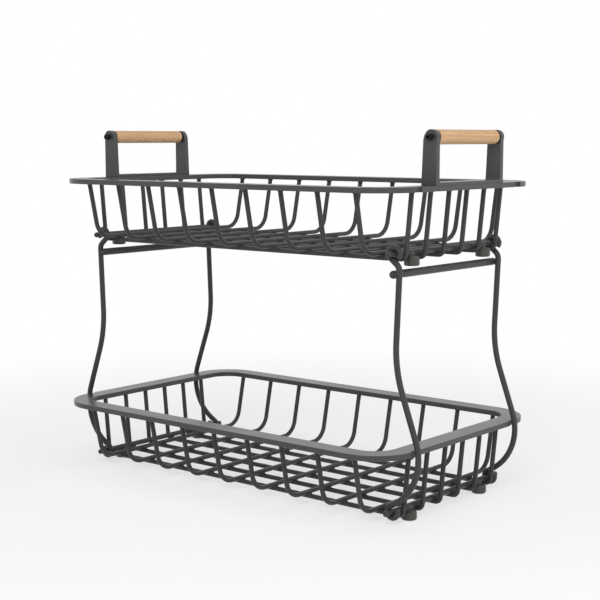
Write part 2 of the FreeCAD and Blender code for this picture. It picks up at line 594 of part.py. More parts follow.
def make_bracket(label, x, turned):
    """Handle bracket: a strip on the rim with a tapered post at each end whose round head leans out."""
    body = new_body(label)
    strip = new_sketch(body, "strip", "XY_Plane")
    half_wide = number("Sizes.bracket_width / 2")
    half_long = number(POST_OUT)
    rectangle(strip, -half_wide, -half_long, half_wide, half_long)
    tie(strip, "Symmetric", 0, 1, 2, 1, -1, 1)
    size(strip, "DistanceX", (0, 1, 0, 2), "Sizes.bracket_width")
    size(strip, "DistanceY", (1, 1, 1, 2), "Sizes.bracket_length")
    pad(body, "base", strip, "Sizes.strip_thickness")
    post = new_sketch(body, "post", "XZ_Plane", POST_IN)
    r = number("Sizes.post_head")
    rise = number("Sizes.grip_rise")
    head = number(HEAD_X)
    shoulder = number("Sizes.post_shoulder")
    lean = math.radians(number("Sizes.post_lean"))
    # The shoulder arc's centre runs parallel to the inner edge until its arc meets the head.
    base_x = shoulder * math.cos(lean) - half_wide
    base_z = -shoulder * math.sin(lean)
    along = (base_x - head) * math.sin(lean) + (base_z - rise) * math.cos(lean)
    off = (base_x - head) ** 2 + (base_z - rise) ** 2
    edge_length = -along - math.sqrt(along ** 2 - off + (shoulder - r) ** 2)
    shoulder_x = base_x + edge_length * math.sin(lean)
    shoulder_z = base_z + edge_length * math.cos(lean)
    turn = math.degrees(math.atan2(rise - shoulder_z, head - shoulder_x))
    edge_top = spot(edge_length * math.sin(lean) - half_wide, edge_length * math.cos(lean))
    dip = math.degrees(math.acos((half_wide - head) / r))
    meet = rise - math.sqrt(r ** 2 - (half_wide - head) ** 2)
    post.addGeometry(Part.LineSegment(spot(-half_wide, 0), spot(half_wide, 0)))
    post.addGeometry(Part.LineSegment(spot(half_wide, 0), spot(half_wide, meet)))
    post.addGeometry(arc(head, rise, r, -dip, turn))
    post.addGeometry(arc(shoulder_x, shoulder_z, shoulder, turn, 180 - math.degrees(lean)))
    post.addGeometry(Part.LineSegment(edge_top, spot(-half_wide, 0)))
    tie(post, "Coincident", 0, 2, 1, 1)
    tie(post, "Coincident", 1, 2, 2, 1)
    tie(post, "Tangent", 2, 2, 3, 1)
    tie(post, "Tangent", 3, 2, 4, 1)
    tie(post, "Coincident", 4, 2, 0, 1)
    tie(post, "Symmetric", 0, 1, 0, 2, -1, 1)
    tie(post, "Horizontal", 0)
    tie(post, "Vertical", 1)
    size(post, "DistanceX", (0, 1, 0, 2), "Sizes.bracket_width")
    locate(post, 2, 3, HEAD_X, "Sizes.grip_rise")
    size(post, "Radius", (2,), "Sizes.post_head")
    size(post, "Radius", (3,), "Sizes.post_shoulder")
    size(post, "Angle", (4, 2, -2, 1), "Sizes.post_lean")
    upright = pad(body, "upright", post, "Sizes.post_thickness")
    mirror(body, "uprights", [upright], "XZ_Plane")
    hole = new_sketch(body, "hole", "XZ_Plane")
    radius = number("Sizes.bolt_diameter / 2 + Sizes.bolt_clearance")
    hole.addGeometry(Part.Circle(spot(head, rise), FreeCAD.Vector(0, 0, 1), radius))
    locate(hole, 0, 3, HEAD_X, "Sizes.grip_rise")
    size(hole, "Radius", (0,), "Sizes.bolt_diameter / 2 + Sizes.bolt_clearance")
    drilled = pocket(body, "bolt_holes", hole, both=True)
    doc.recompute()
    inner = []
    for i, edge in enumerate(drilled.Shape.Edges, 1):
        middle = edge.BoundBox.Center
        flat = edge.BoundBox.ZLength < 0.01 and edge.BoundBox.YLength < 0.01
        at_strip = abs(middle.z - number("Sizes.strip_thickness")) < 0.01
        if flat and at_strip and abs(abs(middle.y) - number(POST_IN)) < 0.01:
            inner.append("Edge%d" % i)
    fillet = body.newObject("PartDesign::Fillet", label + "_inner_bends")
    fillet.Base = (drilled, inner)
    fillet.setExpression("Radius", "Sizes.bracket_fillet")
    place(body, x, "0", RIM_TOP, turned)


def make_grip(label, x):
    """Turned wooden grip with a bore for its bolt."""
    body = new_body(label)
    end = COLLAR_IN[:-1] + " - Sizes.grip_play)"
    bore = "(Sizes.bolt_diameter / 2 + Sizes.bore_play)"
    half = number(end)
    r = number("Sizes.grip_diameter / 2")
    round_off = number("Sizes.grip_round")
    inside = number(bore)
    outline = new_sketch(body, "outline", "XY_Plane")
    outline.addGeometry(Part.LineSegment(spot(inside, half), spot(inside, -half)))
    outline.addGeometry(Part.LineSegment(spot(inside, -half), spot(r - round_off, -half)))
    outline.addGeometry(arc(r - round_off, round_off - half, round_off, 270, 360))
    outline.addGeometry(Part.LineSegment(spot(r, round_off - half), spot(r, half - round_off)))
    outline.addGeometry(arc(r - round_off, half - round_off, round_off, 0, 90))
    outline.addGeometry(Part.LineSegment(spot(r - round_off, half), spot(inside, half)))
    tie(outline, "Coincident", 0, 2, 1, 1)
    for i in range(1, 5):
        tie(outline, "Tangent", i, 2, i + 1, 1)
    tie(outline, "Coincident", 5, 2, 0, 1)
    tie(outline, "Horizontal", 1)
    tie(outline, "Vertical", 3)
    tie(outline, "Horizontal", 5)
    tie(outline, "Equal", 2, 4)
    tie(outline, "Symmetric", 0, 1, 0, 2, -1)
    locate(outline, 0, 1, bore, end)
    locate(outline, 3, 1, "Sizes.grip_diameter / 2")
    size(outline, "Radius", (2,), "Sizes.grip_round")
    turn_round(body, "turning", outline)
    place(body, x, "0", GRIP_Z)


def spindle(sketch):
    """Construction line along the right-hand grip's axis; returns its axis name."""
    line = sketch.addGeometry(Part.LineSegment(spot(number(GRIP_X), -1), spot(number(GRIP_X), 1)), True)
    tie(sketch, "Symmetric", line, 1, line, 2, -1)
    locate(sketch, line, 1, GRIP_X)
    size(sketch, "DistanceY", (line, 1, line, 2), "2")
    return "Axis0"


def make_collars():
    """Four metal collars, one between each post and its grip."""
    body = new_body("handle_collars")
    body.AllowCompound = True
    outline = new_sketch(body, "outline", "XY_Plane", GRIP_Z)
    hole = GRIP_X + " + Sizes.bolt_diameter / 2 + Sizes.bolt_clearance"
    rim = GRIP_X + " + Sizes.collar_diameter / 2"
    back = rectangle(outline, number(hole), number(COLLAR_IN), number(rim), number(POST_IN))
    front = rectangle(outline, number(hole), -number(POST_IN), number(rim), -number(COLLAR_IN))
    locate(outline, back, 1, hole, COLLAR_IN)
    locate(outline, back + 1, 2, rim, POST_IN)
    tie(outline, "Symmetric", back, 1, front + 3, 1, -1)
    tie(outline, "Symmetric", back + 1, 2, front, 2, -1)
    axis = spindle(outline)
    rings = turn_round(body, "rings", outline, axis)
    mirror(body, "both_ends", [rings], "YZ_Plane")


def make_bolts():
    """Two socket-head bolts, each through two posts, two collars and a grip."""
    body = new_body("handle_bolts")
    body.AllowCompound = True
    outline = new_sketch(body, "outline", "XY_Plane", GRIP_Z)
    middle = number(GRIP_X)
    shank = number("Sizes.bolt_diameter / 2")
    head = number("Sizes.head_diameter / 2")
    under = number(POST_OUT)
    face = under + number("Sizes.head_height")
    round_off = number("Sizes.head_round")
    tip = under + number("Sizes.thread_reach")
    outline.addGeometry(Part.LineSegment(spot(middle, tip), spot(middle, -face)))
    outline.addGeometry(Part.LineSegment(spot(middle, -face), spot(middle + head - round_off, -face)))
    outline.addGeometry(arc(middle + head - round_off, round_off - face, round_off, 270, 360))
    outline.addGeometry(Part.LineSegment(spot(middle + head, round_off - face), spot(middle + head, -under)))
    outline.addGeometry(Part.LineSegment(spot(middle + head, -under), spot(middle + shank, -under)))
    outline.addGeometry(Part.LineSegment(spot(middle + shank, -under), spot(middle + shank, tip)))
    outline.addGeometry(Part.LineSegment(spot(middle + shank, tip), spot(middle, tip)))
    tie(outline, "Coincident", 0, 2, 1, 1)
    tie(outline, "Tangent", 1, 2, 2, 1)
    tie(outline, "Tangent", 2, 2, 3, 1)
    for i in (3, 4, 5):
        tie(outline, "Coincident", i, 2, i + 1, 1)
    tie(outline, "Coincident", 6, 2, 0, 1)
    for i in (0, 3, 5):
        tie(outline, "Vertical", i)
    for i in (1, 4, 6):
        tie(outline, "Horizontal", i)
    locate(outline, 0, 1, GRIP_X, POST_OUT + " + Sizes.thread_reach")
    size(outline, "DistanceY", (0, 2, -1, 1), POST_OUT + " + Sizes.head_height")
    size(outline, "DistanceY", (3, 2, -1, 1), POST_OUT)
    locate(outline, 3, 2, GRIP_X + " + Sizes.head_diameter / 2")
    locate(outline, 5, 1, GRIP_X + " + Sizes.bolt_diameter / 2")
    size(outline, "Radius", (2,), "Sizes.head_round")
    axis = spindle(outline)
    turned = turn_round(body, "turned", outline, axis)
    doc.recompute()
    socket = new_sketch(body, "socket", "XZ_Plane", POST_OUT + " + Sizes.head_height")
    hexagon(socket, GRIP_X, GRIP_Z, "Sizes.socket_flats")
    pressed = pocket(body, "pressed", socket, depth="Sizes.socket_depth")
    mirror(body, "both_ends", [turned, pressed], "YZ_Plane")


def make_nuts():
    """Two cap nuts on the back posts."""
    body = new_body("handle_nuts")
    body.AllowCompound = True
    base = new_sketch(body, "base", "XZ_Plane", "-" + POST_OUT)
    hexagon(base, GRIP_X, GRIP_Z, "Sizes.nut_flats")
    six = pad(body, "six_sides", base, "Sizes.nut_height")
    six.Reversed = True
    outline = new_sketch(body, "outline", "XY_Plane", GRIP_Z)
    middle = number(GRIP_X)
    start = number(POST_OUT) + number("Sizes.nut_height")
    r = number("Sizes.nut_dome")
    outline.addGeometry(Part.LineSegment(spot(middle, start), spot(middle + r, start)))
    outline.addGeometry(arc(middle, start, r, 0, 90))
    outline.addGeometry(Part.LineSegment(spot(middle, start + r), spot(middle, start)))
    tie(outline, "Coincident", 0, 2, 1, 1)
    tie(outline, "Coincident", 1, 2, 2, 1)
    tie(outline, "Coincident", 2, 2, 0, 1)
    tie(outline, "Coincident", 1, 3, 0, 1)
    tie(outline, "Horizontal", 0)
    tie(outline, "Vertical", 2)
    locate(outline, 0, 1, GRIP_X, POST_OUT + " + Sizes.nut_height")
    size(outline, "Radius", (1,), "Sizes.nut_dome")
    axis = spindle(outline)
    dome = turn_round(body, "dome", outline, axis)
    doc.recompute()
    thread = new_sketch(body, "thread", "XZ_Plane", "-" + POST_OUT)
    radius = number("Sizes.bolt_diameter / 2 + Sizes.thread_play")
    thread.addGeometry(Part.Circle(spot(middle, number(GRIP_Z)), FreeCAD.Vector(0, 0, 1), radius))
    locate(thread, 0, 3, GRIP_X, GRIP_Z)
    size(thread, "Radius", (0,), "Sizes.bolt_diameter / 2 + Sizes.thread_play")
    tapped = pocket(body, "tapped", thread, depth="Sizes.thread_reach + 0.3")
    mirror(body, "both_ends", [six, dome, tapped], "YZ_Plane")


def make_basket(tier, lift):
    """Rim, wires, rods and feet of one basket."""
    make_rim(tier + "_rim", lift)
    for i in range(CROSS_WIRES):
        step = "(%s - Sizes.cross_margin) * %d / %d" % (END_X, 2 * i - CROSS_WIRES + 1, CROSS_WIRES - 1)
        make_wire(
            "%s_cross_wire_%d" % (tier, i + 1),
            "YZ_Plane",
            SIDE_Y + " - Sizes.cross_seat",
            CROSS_LEVEL,
            "Sizes.cross_bend",
            "Sizes.cross_lean",
            step,
            "0",
            lift,
        )
    for i in range(LONG_WIRES):
        step = "(%s - Sizes.long_margin) * %d / %d" % (SIDE_Y, 2 * i - LONG_WIRES + 1, LONG_WIRES - 1)
        make_wire(
            "%s_long_wire_%d" % (tier, i + 1),
            "XZ_Plane",
            LONG_TOP_X,
            LONG_LEVEL,
            "Sizes.long_bend",
            "Sizes.long_lean",
            "0",
            step,
            lift,
        )
    rod_half = LEG_Y[:-1] + " + Sizes.rod_overhang)"
    rod_z = ROD_LEVEL + " + " + lift
    for side, sign in (("left", "-"), ("right", "")):
        rod = "%s_%s_rod" % (tier, side)
        make_bar(rod, rod_half, "Sizes.rod_diameter", sign + ROD_X, rod_z, side == "left")
        for end, way in (("front", "-"), ("back", "")):
            foot = "%s_%s_%s_foot" % (tier, end, side)
            make_foot(foot, sign + FOOT_X, way + FOOT_Y, lift, side == "left")


make_basket("lower", "0")
make_basket("upper", "Sizes.tier_pitch")

bar_half = LEG_Y[:-1] + " + Sizes.crossbar_overhang)"
bar_x = "(%s - %s * cos(Sizes.shoulder_lean * 1 deg))" % (SHOULDER_X, BAR_STANDOFF)
bar_z = "(%s + %s * sin(Sizes.shoulder_lean * 1 deg))" % (SHOULDER_Z, BAR_STANDOFF)
for side, sign in (("left", "-"), ("right", "")):
    is_left = side == "left"
    for end, way in (("front", "-"), ("back", "")):
        make_leg("%s_%s_leg" % (side, end), "0", way + LEG_Y, is_left)
    make_bar(side + "_crossbar", bar_half, "Sizes.crossbar_diameter", sign + bar_x, bar_z, is_left)
    make_bracket(side + "_handle_bracket", sign + BRACKET_X, is_left)
    make_grip(side + "_grip", sign + GRIP_X)
make_collars()
make_bolts()
make_nuts()
doc.recompute()

faults = []
for item in doc.Objects:
    if "Invalid" in item.State or "Error" in item.State:
        faults.append(item.Label + " did not rebuild")
    if item.TypeId == "Sketcher::SketchObject" and not item.FullyConstrained:
        faults.append(item.Label + " is not fully constrained")
pieces = [item for item in doc.Objects if item.TypeId == "PartDesign::Body"]
for piece in pieces:
    if piece.Shape.isNull() or not piece.Shape.isValid():
        faults.append(piece.Label + " has no sound shape")
    expected = {"handle_collars": 4, "handle_bolts": 2, "handle_nuts": 2}.get(piece.Label, 1)
    if len(piece.Shape.Solids) != expected:
        faults.append("%s has %d solids" % (piece.Label, len(piece.Shape.Solids)))
if faults:
    raise RuntimeError("; ".join(faults[:12]))
for piece in pieces:
    piece.Shape.exportStep("parts/%s.step" % piece.Label)
print("%d pieces" % len(pieces))
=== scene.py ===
# %% [markdown]
# Tiered wire basket
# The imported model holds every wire, rod, leg and fitting at its real size, in metres.
# This lesson loads it as a fixed frame, sets up the camera and the studio, gives each surface
# its finish and adds the small weld beads that the solid model leaves out.

# %% Load the frame
import math

import bpy
import numpy as np
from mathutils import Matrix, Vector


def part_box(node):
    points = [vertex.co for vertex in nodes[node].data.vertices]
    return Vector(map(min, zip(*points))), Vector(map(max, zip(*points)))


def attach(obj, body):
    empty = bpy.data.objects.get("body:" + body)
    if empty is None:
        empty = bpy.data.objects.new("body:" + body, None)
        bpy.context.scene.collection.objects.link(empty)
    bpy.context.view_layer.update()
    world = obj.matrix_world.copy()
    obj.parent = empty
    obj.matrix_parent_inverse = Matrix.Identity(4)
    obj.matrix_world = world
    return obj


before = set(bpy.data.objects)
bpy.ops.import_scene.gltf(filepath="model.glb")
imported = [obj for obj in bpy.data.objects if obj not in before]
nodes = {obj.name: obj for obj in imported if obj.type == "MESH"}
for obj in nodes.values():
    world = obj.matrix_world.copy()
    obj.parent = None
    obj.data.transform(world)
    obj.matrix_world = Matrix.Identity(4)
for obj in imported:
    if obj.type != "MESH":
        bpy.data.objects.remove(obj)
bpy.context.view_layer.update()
scene = bpy.context.scene

# %% [markdown]
# The wires' places
# The welds sit where wires cross, so their places are read from the boxes of the wires
# themselves instead of being typed in again. A wire that runs front to back has a box as
# wide as the wire is thick, and the middle of that box is its axis. At the rim the wires
# lean outwards, so the end of a wire's axis lies a little inside its box.

# %% Read the wires' places
TIERS = ("lower", "upper")
CROSS_COUNT = 9
LONG_COUNT = 6
CROSS_LEAN = math.radians(12.0)
LONG_LEAN = math.radians(5.5)


def node_box(name):
    """Lowest and highest corner of a node, as two arrays."""
    low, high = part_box(name)
    return np.array(low), np.array(high)


def middles(boxes, axis):
    """Middle of each box along one axis."""
    return np.array([(low[axis] + high[axis]) / 2 for low, high in boxes])


def wires_of(tier):
    """Axis places, radii and heights of one basket's wires, rods and rim."""
    cross = [node_box("%s_cross_wire_%d" % (tier, i + 1)) for i in range(CROSS_COUNT)]
    long = [node_box("%s_long_wire_%d" % (tier, i + 1)) for i in range(LONG_COUNT)]
    rods = [node_box("%s_%s_rod" % (tier, side)) for side in ("left", "right")]
    wire = (cross[0][1][0] - cross[0][0][0]) / 2
    return {
        "wire": wire,
        "rod": (rods[0][1][0] - rods[0][0][0]) / 2,
        "cross_x": middles(cross, 0),
        "long_y": middles(long, 1),
        "rod_x": middles(rods, 0),
        "touch_z": cross[0][0][2],
        "rim_z": cross[0][1][2],
        "cross_top": cross[0][1][1] - wire / math.cos(CROSS_LEAN),
        "long_top": long[0][1][0] - wire / math.cos(LONG_LEAN),
    }


wires = {tier: wires_of(tier) for tier in TIERS}
print("wire radius mm", round(wires["lower"]["wire"] * 1000, 2))
print("wires touch at", round(wires["lower"]["touch_z"], 4), "m")

# %% [markdown]
# The camera
# The photograph was taken from the right and a little above with a long lens. The angle, the
# distance and the lens come from matching the rims, wires and feet in the picture, so the
# camera is set from those numbers and not aimed by eye.

# %% Camera
AZIMUTH = math.radians(39.44)
PITCH = math.radians(6.98)
DISTANCE = 1.2692
TARGET = np.array([0.0113, 0.0, 0.1711])
FOCAL_PIXELS = 1331.2
FRAME_PIXELS = 600
SENSOR_MM = 36.0

camera_data = bpy.data.cameras.new("photo_camera")
camera_data.sensor_width = SENSOR_MM
camera_data.lens = FOCAL_PIXELS / FRAME_PIXELS * SENSOR_MM
camera = bpy.data.objects.new("photo_camera", camera_data)
forward = np.array([
    -math.sin(AZIMUTH) * math.cos(PITCH),
    math.cos(AZIMUTH) * math.cos(PITCH),
    -math.sin(PITCH),
])
camera.location = TARGET - DISTANCE * forward
camera.rotation_euler = (math.pi / 2 - PITCH, 0.0, AZIMUTH)
scene.collection.objects.link(camera)
scene.camera = camera
print("lens mm", round(camera_data.lens, 1), "camera at", [round(c, 3) for c in camera.location])

# %% [markdown]
# The white room
# Dark coated steel is readable in a white room: its flat faces show a grey reflection of the
# walls. The world is pure white where the camera, a glossy ray or a ray through glass sees
# it, and dim as a light. A Light Path node tells the two apart, so the background can be
# white without more light on the basket.

# %% World
ROOM_LIGHT = 0.15
WHITE = 1.0


def calc(tree, operation, a, b):
    """Math node on two sockets or numbers."""
    node = tree.nodes.new("ShaderNodeMath")
    node.operation = operation
    for i, value in enumerate((a, b)):
        if isinstance(value, (int, float)):
            node.inputs[i].default_value = value
        else:
            tree.links.new(value, node.inputs[i])
    return node.outputs[0]


def seen_directly(tree):
    """Socket that is 1 for camera, glossy and transmission rays, else 0."""
    rays = tree.nodes.new("ShaderNodeLightPath").outputs
    either = calc(tree, "MAXIMUM", rays["Is Camera Ray"], rays["Is Glossy Ray"])
    return calc(tree, "MAXIMUM", either, rays["Is Transmission Ray"])


def white_light(tree, kind, strength):
    """White background or emission shader of a strength."""
    node = tree.nodes.new(kind)
    node.inputs["Color"].default_value = (1, 1, 1, 1)
    node.inputs["Strength"].default_value = strength
    return node.outputs[0]


def mix_shaders(tree, factor, first, second):
    """Shader that goes from the first to the second by a factor."""
    node = tree.nodes.new("ShaderNodeMixShader")
    tree.links.new(factor, node.inputs["Fac"])
    tree.links.new(first, node.inputs[1])
    tree.links.new(second, node.inputs[2])
    return node.outputs[0]


world = bpy.data.worlds.new("white_studio")
scene.world = world
world.use_nodes = True
tree = world.node_tree
tree.nodes.clear()
lit = white_light(tree, "ShaderNodeBackground", ROOM_LIGHT)
seen = white_light(tree, "ShaderNodeBackground", WHITE)
room = mix_shaders(tree, seen_directly(tree), lit, seen)
tree.links.new(room, tree.nodes.new("ShaderNodeOutputWorld").inputs["Surface"])
scene.view_settings.view_transform = "Standard"
print("room light", ROOM_LIGHT)

# %% [markdown]
# The lamps
# Large square area lamps are the softboxes of a photo studio. The key stands near the camera,
# and the others stand above and on every side, so that colours render about as they are
# written from the back too. Glossy rays don't see the lamps, so the steel mirrors only the
# white room, and no lamp bleaches a dark rim.

# %% Lamps
SOFTBOXES = (
    # name, place, point it faces, size in metres, power in watts
    ("top_softbox", (0.1, -0.1, 1.6), (0, 0, 0.15), 1.4, 4.0),
    ("key_softbox", (0.75, -1.45, 1.1), (0, 0, 0.18), 1.0, 18.5),
    ("right_softbox", (1.6, -0.2, 0.75), (0, 0, 0.18), 1.0, 11.0),
    ("left_softbox", (-1.7, 0.1, 0.9), (0, 0, 0.18), 1.4, 10.0),
    ("back_softbox", (0.4, 1.8, 0.9), (0, 0, 0.18), 1.4, 10.0),
)


def softbox(name, place, aim, size, power):
    """Square area lamp at a place, facing a point.

    A lamp shines down its own -z, so it tips by the angle between that and the way to the
    point, and turns about z by the compass angle of the way less a quarter turn."""
    data = bpy.data.lights.new(name, "AREA")
    data.shape = "SQUARE"
    data.size = size
    data.energy = power
    lamp = bpy.data.objects.new(name, data)
    lamp.location = place
    lamp.visible_glossy = False
    x, y, z = np.array(aim) - np.array(place)
    tip = math.atan2(math.hypot(x, y), -z)
    lamp.rotation_euler = (tip, 0.0, math.atan2(y, x) - math.pi / 2)
    scene.collection.objects.link(lamp)


for row in SOFTBOXES:
    softbox(*row)
print("lamps", [row[0] for row in SOFTBOXES])

# %% [markdown]
# The floor
# The basket stands on a plain pale table. Near the basket the table is lit paper, so the
# soft shadow of the wires stays on it. Farther out it turns into plain white by its distance
# from the middle, and no line shows where the table ends.

# %% Floor
FLOOR_HALF = 30.0
PAPER = ((0.92, 0.92, 0.92), (0.95, 0.95, 0.95))
PAPER_SPECKLE = 90.0
PAPER_ROUGHNESS = 0.9
FADE_NEAR, FADE_FAR = 0.25, 0.9
NEAR_WHITE = 0.6


def new_material(name):
    """Material with a Principled shader; returns the material, its tree and the shader."""
    material = bpy.data.materials.new(name)
    material.use_nodes = True
    return material, material.node_tree, material.node_tree.nodes["Principled BSDF"]


def noise(tree, vector, scale, detail=2.0, rough=0.5):
    """Noise node on a vector; the scale is a number or a socket."""
    node = tree.nodes.new("ShaderNodeTexNoise")
    node.inputs["Detail"].default_value = detail
    node.inputs["Roughness"].default_value = rough
    tree.links.new(vector, node.inputs["Vector"])
    if isinstance(scale, (int, float)):
        node.inputs["Scale"].default_value = scale
    else:
        tree.links.new(scale, node.inputs["Scale"])
    return node.outputs["Fac"]


def spread(tree, value, low, high, to_low, to_high, kind="LINEAR"):
    """Map a value from one range to another, held inside it."""
    node = tree.nodes.new("ShaderNodeMapRange")
    node.interpolation_type = kind
    tree.links.new(value, node.inputs["Value"])
    node.inputs["From Min"].default_value = low
    node.inputs["From Max"].default_value = high
    node.inputs["To Min"].default_value = to_low
    node.inputs["To Max"].default_value = to_high
    return node.outputs["Result"]


def mix_colours(tree, factor, first, second):
    """Colour from the first, a colour or a socket, to the second by a factor."""
    node = tree.nodes.new("ShaderNodeMix")
    node.data_type = "RGBA"
    if isinstance(first, tuple):
        node.inputs["A"].default_value = (*first, 1)
    else:
        tree.links.new(first, node.inputs["A"])
    node.inputs["B"].default_value = (*second, 1)
    tree.links.new(factor, node.inputs["Factor"])
    return node.outputs["Result"]


corners = FLOOR_HALF * np.array([(-1, -1, 0), (1, -1, 0), (1, 1, 0), (-1, 1, 0)])
floor_mesh = bpy.data.meshes.new("pale_floor")
floor_mesh.from_pydata(corners.tolist(), [], [(0, 1, 2, 3)])
floor = bpy.data.objects.new("pale_floor", floor_mesh)
scene.collection.objects.link(floor)
floor_paper, tree, shader = new_material("pale_floor")
shader.inputs["Roughness"].default_value = PAPER_ROUGHNESS
shader.inputs["Specular IOR Level"].default_value = 0.0
where = tree.nodes.new("ShaderNodeTexCoord").outputs["Object"]
speckle = mix_colours(tree, noise(tree, where, PAPER_SPECKLE), *PAPER)
tree.links.new(speckle, shader.inputs["Base Color"])
away = tree.nodes.new("ShaderNodeVectorMath")
away.operation = "LENGTH"
tree.links.new(where, away.inputs[0])
fade = spread(tree, away.outputs["Value"], FADE_NEAR, FADE_FAR, NEAR_WHITE, WHITE, "SMOOTHSTEP")
share = calc(tree, "MULTIPLY", seen_directly(tree), fade)
glow = white_light(tree, "ShaderNodeEmission", WHITE)
table = mix_shaders(tree, share, shader.outputs[0], glow)
tree.links.new(table, tree.nodes["Material Output"].inputs["Surface"])
floor_mesh.materials.append(floor_paper)
print("floor", 2 * FLOOR_HALF, "m wide")

# %% [markdown]
# Powder coat
# The steel is sprayed with black powder that melts into a satin skin. Close up that skin has
# a faint orange peel, and its gloss varies a little. The same skin is on every wire, rim and
# bracket, so it is one node group with its own scale in each material.

# %% Powder coat group
PEEL_SCALE = 650.0
CLOUD_SCALE = 28.0
CLOUD_DETAIL, CLOUD_ROUGH = 4.0, 0.6
SPECK_SCALE = 2400.0
SPECK_DETAIL = 1.0
SPECK_FROM, SPECK_FULL = 0.62, 0.75


def new_group(name, inputs, outputs, normals=()):
    """Empty shader group with float inputs, float outputs and outputs for normals."""
    group = bpy.data.node_groups.new(name, "ShaderNodeTree")
    for label, value in inputs:
        socket = group.interface.new_socket(label, in_out="INPUT", socket_type="NodeSocketFloat")
        socket.default_value = value
    for label in outputs:
        group.interface.new_socket(label, in_out="OUTPUT", socket_type="NodeSocketFloat")
    for label in normals:
        group.interface.new_socket(label, in_out="OUTPUT", socket_type="NodeSocketVector")
    return group, group.nodes.new("NodeGroupInput"), group.nodes.new("NodeGroupOutput")


coat_skin, skin_in, skin_out = new_group(
    "coat_skin",
    [("Peel Scale", PEEL_SCALE), ("Cloud Scale", CLOUD_SCALE)],
    ["Peel", "Cloud", "Speck"],
)
where = coat_skin.nodes.new("ShaderNodeTexCoord").outputs["Object"]
peel = noise(coat_skin, where, skin_in.outputs["Peel Scale"])
cloud = noise(coat_skin, where, skin_in.outputs["Cloud Scale"], CLOUD_DETAIL, CLOUD_ROUGH)
fine = noise(coat_skin, where, SPECK_SCALE, SPECK_DETAIL)
speck = spread(coat_skin, fine, SPECK_FROM, SPECK_FULL, 0.0, 1.0)
coat_skin.links.new(peel, skin_out.inputs["Peel"])
coat_skin.links.new(cloud, skin_out.inputs["Cloud"])
coat_skin.links.new(speck, skin_out.inputs["Speck"])
print("group", coat_skin.name, [s.name for s in coat_skin.interface.items_tree])

# %% [markdown]
# Coat at the edges
# Molten powder draws back from an edge, so the coat is thinner and smoother there, and the
# edge itself is soft. The paler grey along an edge is partly that thinner coat and partly a
# painted highlight for the light a rounded edge catches. A bevel node gives the normal that a
# rounded edge would have. Where it differs from the true normal, there is an edge, and that
# difference is the mask: the dot product of the two is 1 on a flat face and falls towards an edge.

# %% Coat edge group
EDGE_WIDTH = 0.0006
EDGE_SAMPLES = 8
FLAT_DOT, EDGE_DOT = 0.99, 0.86

coat_edge, edge_in, edge_out = new_group(
    "coat_edge", [("Width", EDGE_WIDTH)], ["Edge"], ["Soft Normal"]
)
rounded = coat_edge.nodes.new("ShaderNodeBevel")
rounded.samples = EDGE_SAMPLES
true_normal = coat_edge.nodes.new("ShaderNodeNewGeometry").outputs["Normal"]
agree = coat_edge.nodes.new("ShaderNodeVectorMath")
agree.operation = "DOT_PRODUCT"
coat_edge.links.new(edge_in.outputs["Width"], rounded.inputs["Radius"])
coat_edge.links.new(rounded.outputs["Normal"], agree.inputs[0])
coat_edge.links.new(true_normal, agree.inputs[1])
edge_mask = spread(coat_edge, agree.outputs["Value"], FLAT_DOT, EDGE_DOT, 0.0, 1.0)
coat_edge.links.new(edge_mask, edge_out.inputs["Edge"])
coat_edge.links.new(rounded.outputs["Normal"], edge_out.inputs["Soft Normal"])
print("group", coat_edge.name, [s.name for s in coat_edge.interface.items_tree])

# %% [markdown]
# Coated steel
# The skin lies rough on thin round wires and smoother on flat rims and brackets, which show
# clearer reflections and have edges. Two materials from the same groups hold that difference.
# Each one mixes two greys and two gloss values by the clouds of the skin.

# %% Coated steel materials
CLOUD_LOW, CLOUD_HIGH = 0.3, 0.7
SPECK_HEIGHT = 0.25
COAT_RELIEF = 0.00012
# Paler grey for edges: partly the thinner coat, partly a painted edge highlight.
THIN_COAT_AND_HIGHLIGHT_TONE = (0.10, 0.10, 0.10)
EDGE_PALER = 0.6
EDGE_SMOOTHER = 0.06


def place_group(tree, group, **values):
    """Put a node group into a tree with its own input values."""
    node = tree.nodes.new("ShaderNodeGroup")
    node.node_tree = group
    for label, value in values.items():
        node.inputs[label.replace("_", " ")].default_value = value
    return node


def raise_bumps(tree, shader, height, strength, distance, base=None):
    """Bump from a height socket into the shader's normal, on a base normal if there is one."""
    bump = tree.nodes.new("ShaderNodeBump")
    bump.inputs["Strength"].default_value = strength
    bump.inputs["Distance"].default_value = distance
    tree.links.new(height, bump.inputs["Height"])
    if base is not None:
        tree.links.new(base, bump.inputs["Normal"])
    tree.links.new(bump.outputs["Normal"], shader.inputs["Normal"])


